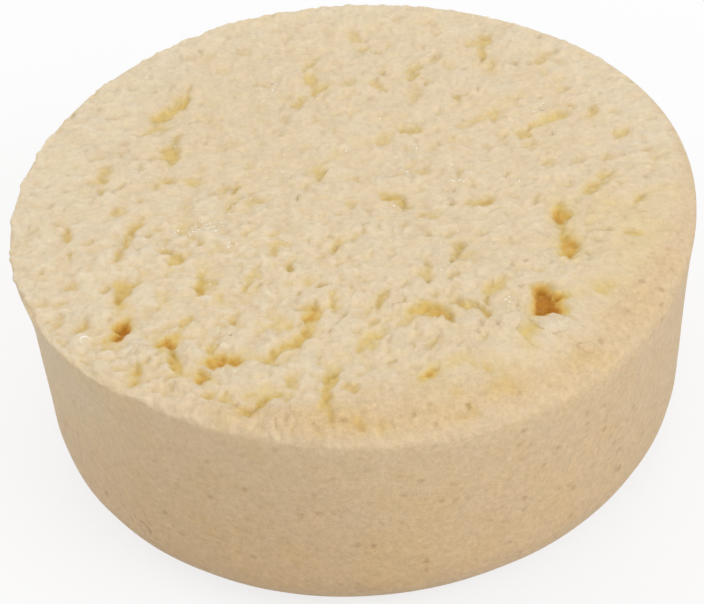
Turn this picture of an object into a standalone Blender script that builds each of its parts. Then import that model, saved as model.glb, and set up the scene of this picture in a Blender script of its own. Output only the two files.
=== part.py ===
"""A shaving soap puck: a pressed cake with a crumbled, pitted top face, and grains of soap that lie on it.

Metres, +Z up. The origin is the centre of the flat base, and +Y points to the back of the puck.
"""

import math
from collections import namedtuple

import bmesh
import bpy
from mathutils import Matrix, Vector, noise

# The cake's turned form
RIM_DIAMETER = 0.0685  # across the lip of the top face
BASE_DIAMETER = 0.0642  # where the wall's line would meet the table
HEIGHT = 0.0264  # from the base to the level of the rim
BASE_EDGE_RADIUS = 0.006  # round between the base and the wall
LIP_HEIGHT = 0.0070  # upper stretch of the wall that bells out of the mould
LIP_FLARE = 0.0012  # how far that stretch bells out
RIM_EDGE_RADIUS = 0.0008  # round between the wall and the top face
WORN_RIM_WIDTH = 0.0060  # how far in that round reaches where the rim is rubbed down
WORN_RIM_DROP = 0.0022  # how far down it reaches there
WORN_RIM_BEARING = math.radians(-42)  # direction of the rubbed stretch, from +X
WORN_RIM_SPREAD = 8  # a higher number makes the rubbed stretch shorter
STRAY_UNIT = 0.001  # one step in the list of strays

# Stretches where the rim strays from its circle: a bearing in degrees, a height in
# stray units, and a number that is higher where the stretch is shorter
Stray = namedtuple("Stray", "bearing height narrow")
STRAYS = (
    Stray(10, 0.45, 12),
    Stray(60, -0.25, 16),
    Stray(176, -0.45, 10),
)

# The crumbled top face
SMOOTH_BAND = 0.0035  # ring beside the rim where the crumbling fades out
SWELL_HEIGHT = 0.0007
SWELL_LENGTH = 0.016
LUMP_HEIGHT = 0.0004
COARSE_LUMP_HEIGHT = 0.0009  # where the face is crumbled most
COARSE_BEARING = math.radians(-125)  # direction of that stretch, from +X
LUMP_LENGTH = 0.0042
SWELL_SEED = 3.0
LUMP_SEED = 11.0
PIT_SEED = 0.5
GRAIN_SEED = 40.5
PIT_ROUGHNESS = 0.60  # how far a pit's outline wanders, as a share of its size
GRAIN_ROUGHNESS = 0.50  # the same for a grain's outside
WANDER_LENGTH = 0.62  # length of those wanderings, as a share of the half-size
PIT_UNIT = 0.001  # one step in the list of pit sizes
GRAIN_UNIT = 0.001  # one step in the list of grain sizes
PIT_DRAFT = 0.20  # how much wider a pit's mouth is above the face, as a share of its size
PIT_CLEARANCE = 0.002  # how far a pit's cutter stands above the face
SEAT_GAP = 0.0003  # clearance between a grain and the face it lies on

# Facets
TOP_CELLS = 40  # cells along each side of the top face's grid
ROUND_STEPS = 4
WALL_STEPS = 4
PIT_SIDES = 12
PIT_STEPS = 4
SEGMENTS = 4 * TOP_CELLS

SOAP_COLOUR = (0.745, 0.591, 0.376, 1.0)
GRAIN_COLOUR = (0.780, 0.635, 0.420, 1.0)
SOAP_GLOSS_ROUGHNESS = 0.72
GRAIN_GLOSS_ROUGHNESS = 0.62

# A pit's place is in shares of the rim's radius, its sizes in pit units and its turn in degrees
Pit = namedtuple("Pit", "x y length width depth turn")
PITS = (
    # the open hole at the front right, with its three lobes
    Pit(0.495, -0.520, 3.4, 3.0, 2.5, 70),
    Pit(0.500, -0.480, 2.4, 1.8, 2.0, 80),
    Pit(0.545, -0.525, 3.0, 1.3, 1.5, 15),
    # the long slot at the right
    Pit(0.600, -0.160, 3.4, 1.5, 1.4, 80),
    Pit(0.612, -0.285, 5.0, 1.8, 1.6, 95),
    # the pair at the front middle
    Pit(0.200, -0.520, 4.2, 1.8, 1.3, -20),
    Pit(0.330, -0.550, 2.8, 1.2, 1.2, -25),
    # the left front
    Pit(-0.662, -0.485, 3.2, 1.8, 1.9, 80),
    Pit(-0.662, -0.360, 5.0, 1.6, 1.2, 92),
    Pit(-0.532, -0.560, 2.6, 2.0, 1.5, 40),
    Pit(-0.520, -0.635, 3.4, 1.2, 1.3, 100),
    Pit(-0.622, -0.665, 3.2, 1.5, 1.2, 80),
    Pit(-0.126, -0.490, 2.6, 1.6, 1.4, 75),
    Pit(-0.310, -0.840, 3.6, 2.2, 1.2, 20),
    Pit(-0.112, -0.810, 4.8, 1.3, 1.1, 88),
    Pit(0.162, -0.780, 2.2, 1.8, 1.3, 30),
    # the left back
    Pit(-0.525, 0.520, 6.8, 1.9, 1.5, 58),
    Pit(-0.522, 0.310, 4.6, 1.5, 1.4, 84),
    Pit(-0.740, 0.200, 4.2, 1.6, 1.2, 72),
    Pit(-0.825, -0.065, 3.4, 1.2, 1.0, 88),
    Pit(-0.645, -0.080, 4.2, 1.3, 1.1, 70),
    # the back and the middle
    Pit(-0.080, 0.625, 5.8, 1.4, 1.1, 100),
    Pit(0.450, 0.725, 4.0, 2.2, 1.4, 75),
    Pit(0.380, -0.060, 2.6, 1.6, 1.1, 30),
    Pit(0.135, -0.025, 4.0, 1.4, 1.0, -35),
    Pit(0.790, -0.265, 3.2, 1.8, 1.0, -20),
)

# The crack at the front left runs through these places, in shares of the rim's radius
CRACK_ROUTE = (
    (-0.425, -0.690),
    (-0.395, -0.635),
    (-0.340, -0.655),
    (-0.265, -0.650),
    (-0.205, -0.610),
    (-0.160, -0.550),
)
CRACK_WIDTH = 0.0016
CRACK_DEPTH = 0.0014
CRACK_LAP = 1.45  # each link of the crack is this much longer than its step

# Grains that lie on the face: places in shares of the rim's radius, sizes in grain units
Grain = namedtuple("Grain", "name x y length width height turn")
GRAINS = (
    Grain("grain_back_rim", 0.545, 0.740, 3.4, 2.6, 0.8, 60),
    Grain("grain_left_curl", -0.770, -0.535, 1.6, 0.9, 0.6, 60),
    Grain("grain_left_ridge", -0.735, -0.420, 2.8, 1.7, 0.7, 100),
    Grain("grain_left_front", -0.600, -0.590, 2.2, 1.7, 0.6, 30),
    Grain("grain_crack_left", -0.472, -0.615, 2.6, 1.5, 0.6, 95),
    Grain("grain_crack_back", -0.355, -0.570, 2.4, 1.7, 0.6, 20),
    Grain("grain_crack_front", -0.300, -0.715, 3.0, 1.8, 0.6, 10),
    Grain("grain_front_rim", -0.480, -0.745, 2.4, 1.6, 0.6, 50),
    Grain("grain_hole_left", 0.400, -0.605, 2.6, 1.9, 0.6, 20),
    Grain("grain_hole_front", 0.530, -0.630, 2.8, 1.8, 0.6, -15),
    Grain("grain_middle", 0.140, 0.055, 3.2, 2.2, 0.5, 15),
    Grain("grain_right_bead", 0.600, -0.700, 1.2, 1.0, 0.6, 0),
)


def clear_scene():
    for obj in list(bpy.data.objects):
        bpy.data.objects.remove(obj)


def smoothstep(share):
    share = min(max(share, 0.0), 1.0)
    return share * share * (3.0 - 2.0 * share)


def rim_round(bearing):
    """Width and drop of the rim's round at this bearing: a crisp edge that grows to the rubbed stretch."""
    rubbed = ((1.0 + math.cos(bearing - WORN_RIM_BEARING)) / 2.0) ** WORN_RIM_SPREAD
    width = RIM_EDGE_RADIUS + (WORN_RIM_WIDTH - RIM_EDGE_RADIUS) * rubbed
    drop = RIM_EDGE_RADIUS + (WORN_RIM_DROP - RIM_EDGE_RADIUS) * rubbed
    return width, drop


def rim_stray(bearing):
    """How far the rim stands out of its circle at this bearing, or in where the number is negative."""
    total = 0.0
    for stray in STRAYS:
        near = (1.0 + math.cos(bearing - math.radians(stray.bearing))) / 2.0
        total += stray.height * STRAY_UNIT * near**stray.narrow
    return total


def wall_radius(z):
    """Radius of the moulded wall at this height: a drafted line that bells out along the lip."""
    base = BASE_DIAMETER / 2
    neck = RIM_DIAMETER / 2 - LIP_FLARE
    belled = min(max((z - HEIGHT + LIP_HEIGHT) / LIP_HEIGHT, 0.0), 1.0)
    return base + (neck - base) * z / HEIGHT + LIP_FLARE * belled**2


def section(bearing):
    """Points (radius, height) up the outside of the cake, from the flat base to the rim's inner edge."""
    points = []
    for step in range(ROUND_STEPS + 1):
        angle = math.pi / 2 * step / ROUND_STEPS
        z = BASE_EDGE_RADIUS * (1.0 - math.cos(angle))
        points.append((wall_radius(z) - BASE_EDGE_RADIUS * (1.0 - math.sin(angle)), z))
    width, drop = rim_round(bearing)
    for step in range(1, WALL_STEPS):
        z = BASE_EDGE_RADIUS + (HEIGHT - drop - BASE_EDGE_RADIUS) * step / WALL_STEPS
        points.append((wall_radius(z), z))
    for step in range(ROUND_STEPS + 1):
        angle = math.pi / 2 * step / ROUND_STEPS
        z = HEIGHT - drop * (1.0 - math.sin(angle))
        points.append((wall_radius(z) - width * (1.0 - math.cos(angle)), z))
    stray = rim_stray(bearing)
    return [(radius + stray * smoothstep(z / HEIGHT), z) for radius, z in points]


def face_radius(bearing):
    """Radius of the top face, inside the rim's round."""
    return wall_radius(HEIGHT) + rim_stray(bearing) - rim_round(bearing)[0]


def lump_height(x, y):
    """Height of the lumps near x, y: it grows towards the stretch where the face is crumbled most."""
    along = x * math.cos(COARSE_BEARING) + y * math.sin(COARSE_BEARING)
    return LUMP_HEIGHT + (COARSE_LUMP_HEIGHT - LUMP_HEIGHT) * smoothstep(2.0 * along / RIM_DIAMETER)


def top_height(x, y):
    """Height of the face over x, y before its pits are cut: swells and lumps that fade at the rim."""
    bearing = math.atan2(y, x)
    inside = face_radius(bearing) - math.hypot(x, y)
    if inside < 0.0:
        width, drop = rim_round(bearing)
        return HEIGHT - drop * (1.0 - math.sqrt(max(1.0 - (inside / width) ** 2, 0.0)))
    swell = SWELL_HEIGHT * noise.noise(Vector((x / SWELL_LENGTH, y / SWELL_LENGTH, SWELL_SEED)))
    lump = lump_height(x, y) * noise.noise(Vector((x / LUMP_LENGTH, y / LUMP_LENGTH, LUMP_SEED)))
    return HEIGHT + (swell + lump) * smoothstep(inside / SMOOTH_BAND)


def disc_place(column, row):
    """Polar place (share of the radius, bearing) of a grid corner: square rings become circles."""
    u = 2.0 * column / TOP_CELLS - 1.0
    v = 2.0 * row / TOP_CELLS - 1.0
    if u == 0.0 and v == 0.0:
        return 0.0, 0.0
    if abs(u) >= abs(v):
        return abs(u), math.pi / 4 * v / u + (math.pi if u < 0 else 0.0)
    return abs(v), math.pi / 2 - math.pi / 4 * u / v + (math.pi if v < 0 else 0.0)


def grid_ring():
    """The grid corners along the outside of the top face, anticlockwise from the bearing of -45 degrees."""
    last = TOP_CELLS
    right = [(last, row) for row in range(last)]
    back = [(last - column, last) for column in range(last)]
    left = [(0, last - row) for row in range(last)]
    front = [(column, 0) for column in range(last)]
    return right + back + left + front


def top_face(mesh):
    """Adds the crumbled face and returns its corners by (column, row)."""
    corners = {}
    for column in range(TOP_CELLS + 1):
        for row in range(TOP_CELLS + 1):
            share, bearing = disc_place(column, row)
            radius = share * face_radius(bearing)
            x, y = radius * math.cos(bearing), radius * math.sin(bearing)
            corners[column, row] = mesh.verts.new((x, y, top_height(x, y)))
    for column in range(TOP_CELLS):
        for row in range(TOP_CELLS):
            around = ((column, row), (column + 1, row), (column + 1, row + 1), (column, row + 1))
            mesh.faces.new([corners[place] for place in around])
    return corners


def outer_wall(mesh, rim_corners):
    """Adds the wall below the rim's corners and closes it with the flat base."""
    bearings = [disc_place(*place)[1] for place in grid_ring()]
    sections = [section(bearing) for bearing in bearings]
    rings = []
    for level in range(len(sections[0]) - 1):
        ring = []
        for bearing, points in zip(bearings, sections):
            radius, z = points[level]
            ring.append(mesh.verts.new((radius * math.cos(bearing), radius * math.sin(bearing), z)))
        rings.append(ring)
    rings.append(rim_corners)
    for lower, upper in zip(rings, rings[1:]):
        for here in range(SEGMENTS):
            after = (here + 1) % SEGMENTS
            mesh.faces.new((lower[here], lower[after], upper[after], upper[here]))
    mesh.faces.new(rings[0][::-1])


def soap_material(name, colour, roughness):
    material = bpy.data.materials.new(name)
    material.use_nodes = True
    shader = material.node_tree.nodes["Principled BSDF"]
    shader.inputs["Base Color"].default_value = colour
    shader.inputs["Roughness"].default_value = roughness
    shader.inputs["Metallic"].default_value = 0.0
    return material


def add_object(name, mesh, collection):
    """Turns a bmesh into a named, smooth-shaded object."""
    data = bpy.data.meshes.new(name)
    mesh.to_mesh(data)
    mesh.free()
    data.shade_smooth()
    data.set_sharp_from_angle(angle=math.radians(40))
    obj = bpy.data.objects.new(name, data)
    collection.objects.link(obj)
    return obj


def wander(place, seed):
    """How far a rough outline stands in or out at this place on a unit ball."""
    return noise.noise(place / WANDER_LENGTH + Vector((seed, seed, seed)))


def bowl_rings():
    """Rings (share of the mouth, share of the depth) from above the mouth down to just over the floor."""
    yield 1.0 + PIT_DRAFT, None
    for step in range(PIT_STEPS):
        angle = math.pi / 2 * step / PIT_STEPS
        yield math.cos(angle), math.sin(angle)


def pit_cutter(pit, number, cutters):
    """A bowl with a wandering outline, carried on above the face so that it cuts a clean mouth."""
    mesh = bmesh.new()
    rings = []
    for share, sunk in bowl_rings():
        z = PIT_CLEARANCE if sunk is None else -pit.depth * sunk
        ring = []
        for side in range(PIT_SIDES):
            angle = 2.0 * math.pi * side / PIT_SIDES
            out = Vector((math.cos(angle), math.sin(angle), 0.0))
            reach = share * (1.0 + PIT_ROUGHNESS * wander(out, number + PIT_SEED))
            ring.append(mesh.verts.new((reach * out.x * pit.length / 2, reach * out.y * pit.width / 2, z)))
        rings.append(ring)
    floor = mesh.verts.new((0.0, 0.0, -pit.depth))
    mesh.faces.new(rings[0])
    for side in range(PIT_SIDES):
        after = (side + 1) % PIT_SIDES
        for upper, lower in zip(rings, rings[1:]):
            mesh.faces.new((upper[after], upper[side], lower[side], lower[after]))
        mesh.faces.new((rings[-1][after], rings[-1][side], floor))
    x, y = pit.x * RIM_DIAMETER / 2, pit.y * RIM_DIAMETER / 2
    obj = add_object(f"pit_cutter_{number}", mesh, cutters)
    obj.location = (x, y, top_height(x, y))
    obj.rotation_euler.z = math.radians(pit.turn)
    obj.hide_render = True
    obj.display_type = "WIRE"


def sized_pits():
    """The listed pits in metres."""
    for pit in PITS:
        yield pit._replace(
            length=pit.length * PIT_UNIT, width=pit.width * PIT_UNIT, depth=pit.depth * PIT_UNIT
        )


def crack_links():
    """The crack as a chain of long pits, one along each step of its route."""
    for (x0, y0), (x1, y1) in zip(CRACK_ROUTE, CRACK_ROUTE[1:]):
        step = math.hypot(x1 - x0, y1 - y0) * RIM_DIAMETER / 2
        turn = math.degrees(math.atan2(y1 - y0, x1 - x0))
        yield Pit((x0 + x1) / 2, (y0 + y1) / 2, step * CRACK_LAP, CRACK_WIDTH, CRACK_DEPTH, turn)


def soap_cake(collection, cutters):
    """The pressed cake: its turned wall, crumbled face and pits."""
    mesh = bmesh.new()
    corners = top_face(mesh)
    outer_wall(mesh, [corners[place] for place in grid_ring()])
    cake = add_object("soap_cake", mesh, collection)
    cake.data.materials.append(soap_material("pressed_soap", SOAP_COLOUR, SOAP_GLOSS_ROUGHNESS))
    for number, pit in enumerate((*sized_pits(), *crack_links())):
        pit_cutter(pit, number, cutters)
    pits = cake.modifiers.new("pits", "BOOLEAN")
    pits.operation = "DIFFERENCE"
    pits.solver = "EXACT"
    pits.operand_type = "COLLECTION"
    pits.collection = cutters
    return cake


def soap_grain(grain, number, material, collection):
    """A grain that lies on the face: a rough lump whose underside follows the face at the seat gap."""
    half_sizes = Vector((grain.length, grain.width, grain.height)) * GRAIN_UNIT / 2
    mesh = bmesh.new()
    bmesh.ops.create_icosphere(mesh, subdivisions=2, radius=1.0)
    for vert in mesh.verts:
        vert.co *= 1.0 + GRAIN_ROUGHNESS * wander(vert.co, number + GRAIN_SEED)
    bmesh.ops.scale(mesh, vec=half_sizes, verts=mesh.verts)
    turn = Matrix.Rotation(math.radians(grain.turn), 3, "Z")
    bmesh.ops.rotate(mesh, matrix=turn, verts=mesh.verts)
    x, y = grain.x * RIM_DIAMETER / 2, grain.y * RIM_DIAMETER / 2
    centre = top_height(x, y) + SEAT_GAP + half_sizes.z / 2
    for vert in mesh.verts:
        seat = top_height(x + vert.co.x, y + vert.co.y) + SEAT_GAP
        vert.co.z = max(vert.co.z, seat - centre)
    obj = add_object(grain.name, mesh, collection)
    obj.location = (x, y, centre)
    obj.data.materials.append(material)
    return obj


def build():
    clear_scene()
    collection = bpy.context.scene.collection
    cutters = bpy.data.collections.new("pit_cutters")
    collection.children.link(cutters)
    puck = bpy.data.objects.new("soap_puck", None)
    collection.objects.link(puck)
    pieces = [soap_cake(collection, cutters)]
    grain_material = soap_material("loose_soap", GRAIN_COLOUR, GRAIN_GLOSS_ROUGHNESS)
    for number, grain in enumerate(GRAINS):
        pieces.append(soap_grain(grain, number, grain_material, collection))
    for piece in pieces:
        piece.parent = puck


build()
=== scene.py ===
# %% [markdown]
# # A puck of shaving soap
# The real object is one cake of cream-coloured soap, pressed in a round mould. Its side is smooth where it
# lay against the mould, and its top is crumbled, with pits and cracks that look amber where light goes into
# the soap; here that amber is painted into the colour as shade. The packed model is loaded first, because
# the pieces below stand for its nodes.

# %% Load the packed model
import math

import bpy
import numpy as np
from mathutils import Matrix, Vector


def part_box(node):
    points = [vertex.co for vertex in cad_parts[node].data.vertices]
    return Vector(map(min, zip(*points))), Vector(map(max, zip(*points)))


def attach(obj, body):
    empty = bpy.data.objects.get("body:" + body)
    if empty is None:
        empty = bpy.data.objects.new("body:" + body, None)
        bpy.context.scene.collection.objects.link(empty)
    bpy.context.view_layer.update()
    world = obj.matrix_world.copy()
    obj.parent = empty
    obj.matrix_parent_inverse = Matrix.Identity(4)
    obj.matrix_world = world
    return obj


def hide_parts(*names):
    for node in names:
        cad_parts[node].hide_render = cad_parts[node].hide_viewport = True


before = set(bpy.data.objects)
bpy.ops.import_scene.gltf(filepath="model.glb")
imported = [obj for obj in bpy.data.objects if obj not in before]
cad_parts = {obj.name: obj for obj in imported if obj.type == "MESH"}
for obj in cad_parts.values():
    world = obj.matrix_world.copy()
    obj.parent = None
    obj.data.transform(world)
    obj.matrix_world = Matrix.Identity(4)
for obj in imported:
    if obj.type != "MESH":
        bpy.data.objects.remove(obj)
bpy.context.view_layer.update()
MM = 0.001

# %% [markdown]
# ## Camera
# The rim is a circle, so the ellipse that it makes in the photograph gives the height of the camera over
# the table. The wall gives the distance: the closer the camera, the more the far rim shrinks against the
# near one. The camera was also held a little askew, so its own axes are turned by a few degrees about the
# line of sight.

# %% Camera
PHOTO_WIDTH = 704
FOCAL_PIXELS = 2488
SHIFT_PIXELS = (-5.5, -2.5)
CAMERA_HEIGHT_ANGLE = math.radians(40.65)
CAMERA_LEAN = math.radians(-5.04)
CAMERA_DISTANCE = 255 * MM
NEAREST_SEEN = 10 * MM
PUCK_MIDDLE = Vector((0, 0, 13.2 * MM))
SENSOR_WIDTH = 36.0


def placed(name, data):
    """A new object in the scene that shows this camera, mesh or light."""
    obj = bpy.data.objects.new(name, data)
    bpy.context.scene.collection.objects.link(obj)
    return obj


back = Vector((0, -math.cos(CAMERA_HEIGHT_ANGLE), math.sin(CAMERA_HEIGHT_ANGLE)))
upright = Vector((0, math.sin(CAMERA_HEIGHT_ANGLE), math.cos(CAMERA_HEIGHT_ANGLE)))
sideways = Vector((1, 0, 0))
lean_cos, lean_sin = math.cos(CAMERA_LEAN), math.sin(CAMERA_LEAN)
camera_axes = (lean_cos * sideways + lean_sin * upright, lean_cos * upright - lean_sin * sideways, back)

camera_data = bpy.data.cameras.new("photo_camera")
camera_data.sensor_width = SENSOR_WIDTH
camera_data.sensor_fit = "HORIZONTAL"
camera_data.lens = FOCAL_PIXELS / PHOTO_WIDTH * SENSOR_WIDTH
camera_data.shift_x, camera_data.shift_y = (pixels / PHOTO_WIDTH for pixels in SHIFT_PIXELS)
camera_data.clip_start = NEAREST_SEEN
camera = placed("photo_camera", camera_data)
camera.matrix_world = Matrix(camera_axes).transposed().to_4x4()
camera.location = PUCK_MIDDLE + back * CAMERA_DISTANCE
bpy.context.scene.camera = camera
bpy.context.scene.view_settings.view_transform = "Standard"
print("lens", round(camera_data.lens, 1), "mm at", [round(c, 3) for c in camera.location])

# %% [markdown]
# ## Noise on whole arrays
# Crumbled soap has no plan, only sizes: swells a centimetre long, lumps of a few millimetres and grains
# below one. One kind of noise gives all of these. It blends random slopes on a lattice into smooth hills,
# and each size has a lattice of its own. A noise texture in a shader would only colour the surface, so this
# one works on whole arrays of points.

# %% Noise
# Odd numbers that stir the bits of a number, masks that keep its low bits, and how far bits are folded.
COLUMN_STIR = 374761393
ROW_STIR = 668265263
SEED_STIR = 974711
FOLD_STIR = 1274126177
LOW_32_BITS = 0xFFFFFFFF
LOW_24_BITS = 0xFFFFFF
FIRST_FOLD = 13
LAST_FOLD = 16
HILL_GAIN = 1.5
LAYER_SHARE = 0.55


def corner_value(column, row, seed):
    """A repeatable number from 0 to 1 for each pair of whole numbers: both and the seed are multiplied by
    odd numbers and added, and the bits of the sum are folded over twice."""
    mixed = column.astype(np.int64) * COLUMN_STIR + row.astype(np.int64) * ROW_STIR + seed * SEED_STIR
    mixed = mixed & LOW_32_BITS
    mixed = ((mixed ^ (mixed >> FIRST_FOLD)) * FOLD_STIR) & LOW_32_BITS
    return ((mixed ^ (mixed >> LAST_FOLD)) & LOW_24_BITS) / LOW_24_BITS


def hills(x, y, length, seed):
    """Smooth hills from about -1 to 1. Every lattice corner has a random slope, and the four slopes around
    a point are blended by the curve 6t^5 - 15t^4 + 10t^3 of its place between them."""
    column, row = np.floor(x / length), np.floor(y / length)
    across, along = x / length - column, y / length - row

    def slope(right, up):
        turn = 2 * np.pi * corner_value(column + right, row + up, seed)
        return np.cos(turn) * (across - right) + np.sin(turn) * (along - up)

    blend_x = across**3 * (across * (across * 6 - 15) + 10)
    blend_y = along**3 * (along * (along * 6 - 15) + 10)
    near = slope(0, 0) * (1 - blend_x) + slope(1, 0) * blend_x
    far = slope(0, 1) * (1 - blend_x) + slope(1, 1) * blend_x
    return HILL_GAIN * (near * (1 - blend_y) + far * blend_y)


def rough_hills(x, y, length, seed, layers=3):
    """Hills that carry smaller hills: each layer is half as long as the one before and about half as
    high."""
    return sum(LAYER_SHARE**layer * hills(x, y, length / 2**layer, seed + layer) for layer in range(layers))


def ease(low, high, value):
    """A soft step from 0 at low to 1 at high, along 3t^2 - 2t^3."""
    share = np.clip((value - low) / (high - low), 0, 1)
    return share * share * (3 - 2 * share)


def between(low, high, share):
    """The number that lies this share of the way from low to high."""
    return low + (high - low) * share


print("hills at the middle:", round(float(hills(np.zeros(1), np.zeros(1), 4 * MM, 1)[0]), 3))

# %% [markdown]
# ## The moulded form
# Before its top was crumbled, the cake was a turned shape: a flat base, a rounded foot, a wall that leans
# out a little so that it leaves the mould, and a lip that bells out at the top. At the front right the rim
# has been rubbed down, so its edge there is wide and soft. The packed solid has the same foot, wall and
# lip. Its rim is plainer: here the edge is crisper at the left, the rubbed stretch is wider, and the lip is
# plain at the front left.

# %% Sizes of the moulded form
RIM_RADIUS = 34.25 * MM
BASE_RADIUS = 32.1 * MM
HEIGHT = 26.4 * MM
FOOT_ROUND = 6.0 * MM
LIP_HEIGHT = 7.0 * MM
LIP_FLARE = 1.2 * MM
EDGE_ROUND = 0.35 * MM
WORN_WIDTH = 9.0 * MM
WORN_DROP = 3.2 * MM
# A bearing is the middle of a stretch, from the right and anticlockwise. A higher spread makes it shorter.
WORN_BEARING = math.radians(-50)
WORN_SPREAD = 4
PLAIN_BEARING = math.radians(-116)
PLAIN_SPREAD = 5
# Each row is a bearing in degrees, how far the rim stands out there in millimetres, and a spread.
STRAYS = ((17, 0.65, 14), (60, -0.25, 16), (155, -0.30, 14), (176, -0.40, 10), (-114, -0.60, 20))
print("rim", round(2 * RIM_RADIUS / MM, 1), "mm, base", round(2 * BASE_RADIUS / MM, 1), "mm across")


# %% The turned outline
def facing(bearing, middle, spread):
    """A share that is 1 at one bearing and falls to 0 behind it: half of one plus the cosine of the angle
    between them, raised to a power that narrows it."""
    return ((1 + np.cos(bearing - middle)) / 2) ** spread


def rim_round(bearing):
    """Width and drop of the rim's edge: a crisp round everywhere, and more in the rubbed stretch."""
    rubbed = facing(bearing, WORN_BEARING, WORN_SPREAD)
    return between(EDGE_ROUND, WORN_WIDTH, rubbed), between(EDGE_ROUND, WORN_DROP, rubbed)


def edge_length(bearing):
    """Way over the rim's edge: a quarter of the outline of an ellipse whose half axes are the edge's width
    and drop, by the usual close formula for an ellipse."""
    width, drop = rim_round(bearing)
    uneven = ((width - drop) / (width + drop)) ** 2
    return np.pi / 4 * (width + drop) * (1 + 3 * uneven / (10 + np.sqrt(4 - 3 * uneven)))


def out_of_round(bearing):
    """How far the rim strays from its circle: each stretch adds its height times its share at this
    bearing."""
    shares = (height * facing(bearing, math.radians(middle), spread) for middle, height, spread in STRAYS)
    return sum(shares) * MM


def wall_radius(z, bearing):
    """Radius of the wall at a height: a straight line from base to lip, plus the lip's flare times the
    square of the share of the lip that lies below, plus the rim's strays along a soft step. The flare is
    rubbed away with the rim, and the front left has none."""
    rubbed = facing(bearing, WORN_BEARING, WORN_SPREAD)
    plain = facing(bearing, PLAIN_BEARING, PLAIN_SPREAD)
    flare = LIP_FLARE * (1 - rubbed) * (1 - plain)
    belled = np.clip((z - HEIGHT + LIP_HEIGHT) / LIP_HEIGHT, 0, 1)
    straight = BASE_RADIUS + (RIM_RADIUS - flare - BASE_RADIUS) * z / HEIGHT
    return straight + out_of_round(bearing) * ease(0, 1, z / HEIGHT) + flare * belled**2


def face_radius(bearing):
    """Radius of the top face, inside the rim's edge."""
    return RIM_RADIUS + out_of_round(bearing) - rim_round(bearing)[0]


print("way over the rubbed edge:", round(edge_length(WORN_BEARING) / MM, 1), "mm")

# %% [markdown]
# ## Pits and the crack
# The pits are where crumbs broke away. They are placed where the photograph shows them, each as a long
# bowl. A plane that is bent by noise before the bowls are measured in it gives them ragged outlines, and
# bowls that overlap make one branched pit. The crack at the front left is a chain of short bowls along a
# bent
# line. The largest hole is torn: it has a body of five corners and a lobe of four, and the first two bowls
# in the list are its slit and its arm. Many small dents with no plan are strewn over the rest.

# %% The pits
# Each row is a place across and along in millimetres, a length, a width, a depth and a turn in degrees.
FRONT_RIGHT_PITS = (
    (17.4, -18.5, 2.8, 1.1, 3.6, 38), (18.9, -17.2, 2.6, 1.0, 2.1, 10), (20.5, -5.0, 2.6, 1.5, 1.8, 80),
    (20.3, -7.3, 2.6, 0.9, 1.0, 95), (20.7, -9.8, 3.8, 1.4, 1.7, 85), (5.8, -17.5, 2.6, 1.1, 1.2, 20),
    (7.2, -17.7, 2.4, 1.2, 1.5, -20), (8.2, -18.7, 1.9, 0.9, 1.3, -60), (4.2, -18.8, 2.5, 0.8, 0.4, 60),
    (11.6, -18.8, 2.2, 0.8, 1.0, -65), (10.2, -17.6, 2.6, 0.9, 0.8, -25),
    (13.0, -15.1, 3.2, 1.0, 0.7, 45), (12.0, -16.6, 1.6, 0.8, 0.5, 80), (12.8, -2.3, 2.6, 1.0, 0.8, 10),
    (13.4, -2.1, 1.2, 1.1, 1.0, 0), (9.9, -9.5, 2.6, 1.2, 0.7, 80), (10.6, -10.6, 1.6, 0.8, 0.4, 0),
    (26.8, -8.9, 1.8, 1.5, 0.8, 10), (28.5, -3.7, 1.2, 1.0, 0.7, 60), (23.9, -1.6, 3.0, 1.0, 0.7, 40),
    (8.0, -3.9, 1.6, 0.6, 0.5, 10), (23.1, -16.1, 2.2, 1.6, 0.6, 20), (4.4, -0.4, 2.2, 0.8, 0.8, -20),
    (5.3, -1.5, 1.6, 0.7, 0.8, -60), (2.3, -15.6, 2.6, 1.0, 0.6, 70), (1.0, -17.2, 1.6, 0.8, 0.3, 30),
    (0.8, -21.2, 2.8, 1.6, 0.6, 35), (2.2, -20.0, 1.4, 0.9, 0.3, 0), (5.7, -26.4, 2.2, 1.2, 1.6, 40),
    (6.7, -22.5, 1.8, 0.8, 0.4, 80), (15.4, -22.0, 4.2, 1.5, 0.8, 78), (15.2, -23.6, 1.4, 0.9, 0.4, 0),
    (11.3, -25.6, 1.8, 1.0, 0.7, 85), (8.8, -25.0, 3.6, 1.0, 0.4, 0), (8.1, -28.6, 1.4, 1.2, 0.4, 0),
    (8.8, -31.4, 2.2, 1.2, 0.3, 20), (12.6, -28.6, 3.4, 1.8, 0.4, 12), (6.8, -12.4, 3.2, 0.9, 0.5, 95),
    (20.8, -25.2, 6.0, 2.2, 0.2, 4), (17.2, -13.4, 1.2, 0.7, 0.3, 0), (1.3, -32.6, 1.6, 1.0, 0.3, 0),
)
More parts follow.
